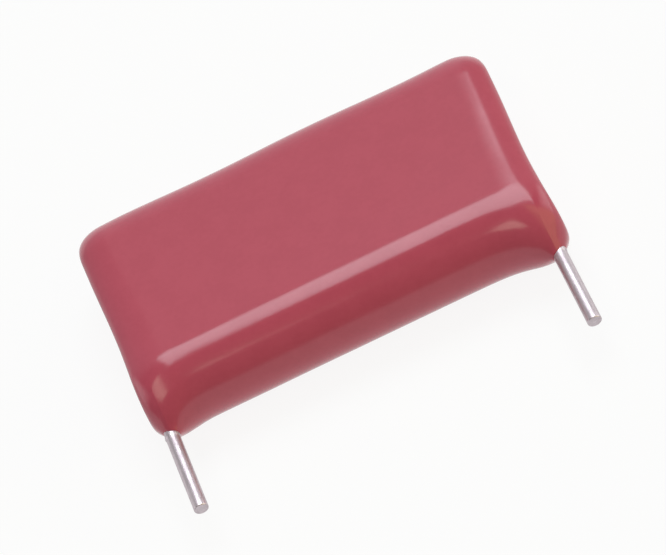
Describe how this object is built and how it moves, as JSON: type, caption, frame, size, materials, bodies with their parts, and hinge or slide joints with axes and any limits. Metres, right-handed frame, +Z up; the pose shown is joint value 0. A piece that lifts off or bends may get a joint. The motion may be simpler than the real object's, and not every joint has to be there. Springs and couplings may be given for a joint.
{
  "type": "epoxy-dipped radial film capacitor",
  "caption": "Flat red epoxy-dipped film capacitor: a rounded slab body over a wound film element, with straight cut wire leads out of the ends of its lower edge.",
  "frame": {"origin": "under the middle of the whole part, at the height of the surface that it lies on", "axes": "+X from the left lead to the right lead, -Y the way the leads point, +Z up through the body's thickness"},
  "size_m": [0.0242, 0.0196, 0.0054],
  "materials": {
    "red_epoxy": "glossy dipped epoxy with a faint orange peel",
    "plain_film": "clear plastic film, heat-sealed",
    "metallised_film": "metallised plastic film, wound tight",
    "sprayed_zinc": "rough sprayed metal",
    "tinned_wire": "dull tinned wire with fine draw lines"
  },
  "bodies": {
    "root": {"epoxy_coat": "red_epoxy", "outer_wrap": "plain_film", "film_winding": "metallised_film", "left_end_spray": "sprayed_zinc", "right_end_spray": "sprayed_zinc", "left_lead": "tinned_wire", "right_lead": "tinned_wire"}
  },
  "joints": []
}
